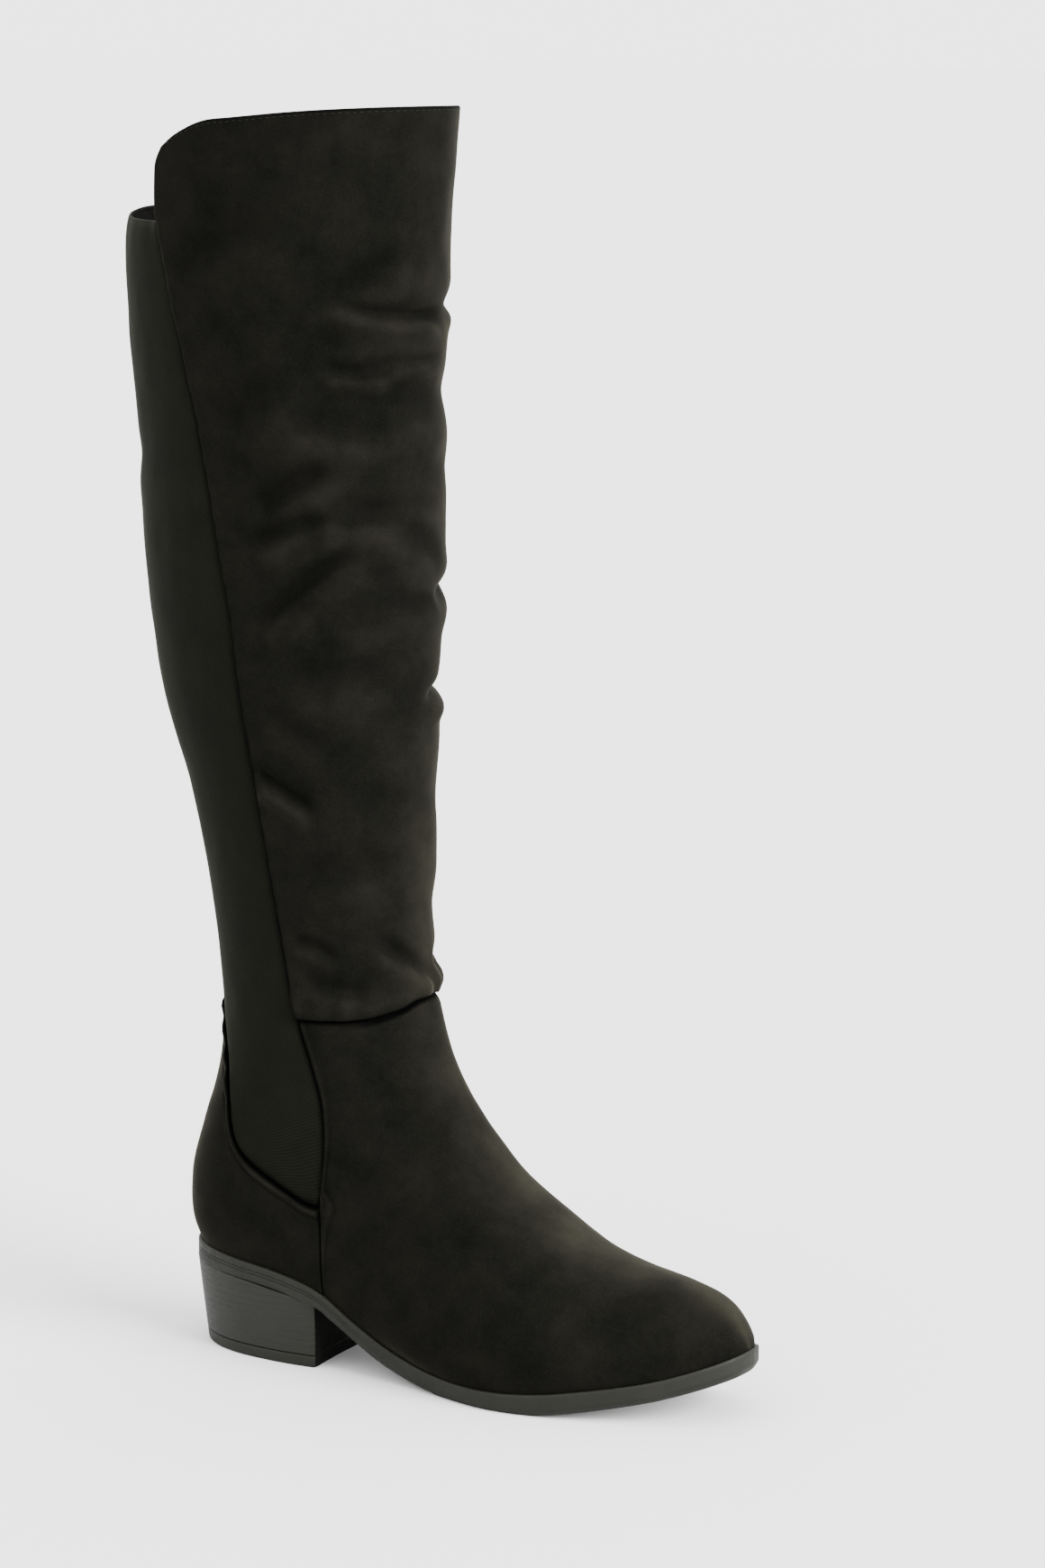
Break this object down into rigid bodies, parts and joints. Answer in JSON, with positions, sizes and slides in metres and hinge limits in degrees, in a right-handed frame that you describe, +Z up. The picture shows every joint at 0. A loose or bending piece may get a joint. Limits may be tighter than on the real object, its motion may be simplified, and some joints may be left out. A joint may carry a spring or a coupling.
{
  "type": "knee-high boot",
  "caption": "Right knee-high boot with suede foot and front leg, stretch back panel, short inside zip, thin unit sole and low block heel.",
  "frame": {"origin": "on the ground, in the middle of the heel's ground face", "axes": "+X towards the toe, +Y towards the inner side of the foot, +Z up the leg"},
  "size_m": [0.296, 0.1058, 0.5325],
  "materials": {
    "suede": "very dark brown-black brushed suede",
    "stretch_cloth": "charcoal stretch twill",
    "zip_tape": "black woven tape",
    "zip_coil": "dark grey coil",
    "zip_metal": "dark polished metal",
    "pull_gloss": "glossy black",
    "sole_rubber": "satin dark grey moulded edge",
    "insole_cover": "dark soft cover",
    "heel_stack": "dark grey with fine level layers",
    "heel_rubber": "matt dark rubber"
  },
  "bodies": {
    "boot": {"upper": "suede", "leg_panel": "suede", "zip_strip": "suede", "stretch_panel": "stretch_cloth", "zip_tape": "zip_tape", "zip_chain": "zip_coil", "zip_slider": "zip_metal", "outsole": "sole_rubber", "insole": "insole_cover", "heel": "heel_stack", "heel_top_piece": "heel_rubber"},
    "pull": {"zip_pull": "pull_gloss"}
  },
  "joints": [
    {"name": "pull_hinge", "type": "hinge", "parent": "boot", "child": "pull", "pos_m": [0.00989, 0.04193, 0.23471], "axis": [0.9995, 0.0318, 0], "range_deg": [-8, 160]}
  ]
}
